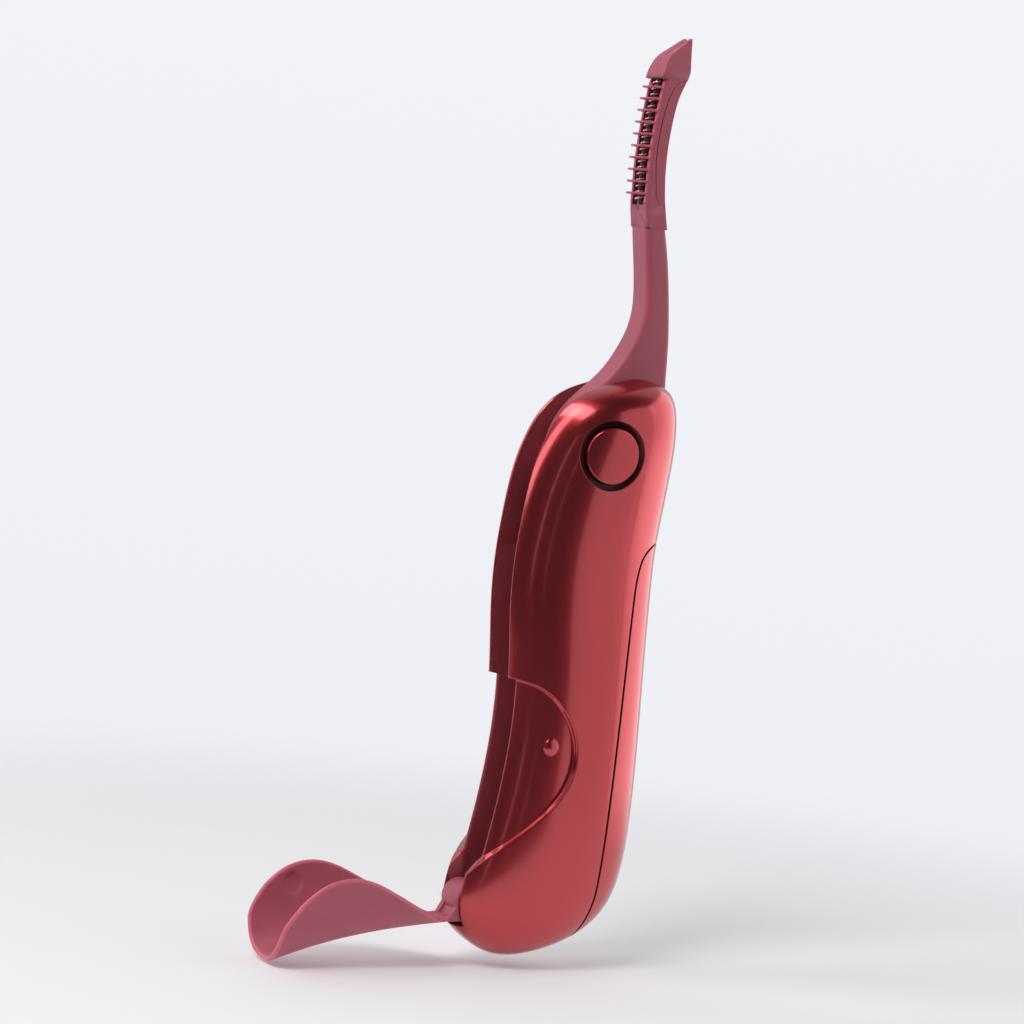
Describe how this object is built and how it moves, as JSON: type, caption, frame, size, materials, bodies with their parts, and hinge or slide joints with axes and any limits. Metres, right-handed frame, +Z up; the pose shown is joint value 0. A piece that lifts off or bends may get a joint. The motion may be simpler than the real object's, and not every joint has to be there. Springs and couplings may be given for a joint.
{
  "type": "folding heated eyelash curler",
  "caption": "Hand-held heated eyelash curler with a fold-out comb arm, a hinged flip cover and a slide-off battery cover.",
  "frame": {"origin": "middle of the hand grip, on the plane between the two body shells", "axes": "+Z up along the body towards the comb, -Y the slotted front where the flip cover opens, +X the side with the round button"},
  "size_m": [0.019, 0.0638, 0.1541],
  "materials": {
    "red_lacquer": "metallic red lacquer, glossy",
    "mauve_plastic": "matte",
    "dark_red_plastic": "satin",
    "steel": "brushed",
    "heating_wire": "bright drawn wire",
    "ceramic": "matte ceramic rod",
    "nickel": "plated spring strip",
    "cell_jacket": "plain printed film",
    "board": "solder resist",
    "black_plastic": "matte",
    "lead_insulation": "soft"
  },
  "bodies": {
    "body": {"right_shell": "red_lacquer", "left_shell": "red_lacquer", "pivot_cap": "red_lacquer", "chassis": "dark_red_plastic", "battery_cell": "nickel", "battery_jacket": "cell_jacket", "contact_positive": "nickel", "contact_negative_plate": "nickel", "contact_negative_spring": "nickel", "switch_board": "board", "power_switch": "black_plastic", "pivot_pin": "steel", "cover_pin": "steel"},
    "arm": {"arm": "mauve_plastic", "comb_head": "mauve_plastic", "comb_back": "mauve_plastic", "comb_fins": "mauve_plastic", "heater_core": "ceramic", "heater_coil": "heating_wire", "heater_lead_right": "lead_insulation", "heater_lead_left": "lead_insulation"},
    "flip_cover": {"flip_cover": "mauve_plastic"},
    "battery_cover": {"battery_cover": "red_lacquer"},
    "power_button": {"power_button": "red_lacquer"}
  },
  "joints": [
    {"name": "arm_fold", "type": "hinge", "parent": "body", "child": "arm", "pos_m": [0, -0.001, 0.04], "axis": [1, 0, 0], "range_deg": [0, 180]},
    {"name": "cover_flip", "type": "hinge", "parent": "body", "child": "flip_cover", "pos_m": [0, -0.0135, -0.0344], "axis": [-1, 0, 0], "range_deg": [0, 108]},
    {"name": "battery_cover_slide", "type": "slide", "parent": "body", "child": "battery_cover", "axis": [0, 0, -1], "range_m": [0, 0.07]},
    {"name": "button_press", "type": "slide", "parent": "body", "child": "power_button", "axis": [-1, 0, 0], "range_m": [0, 0.0006], "stiffness_N_per_m": 900}
  ]
}
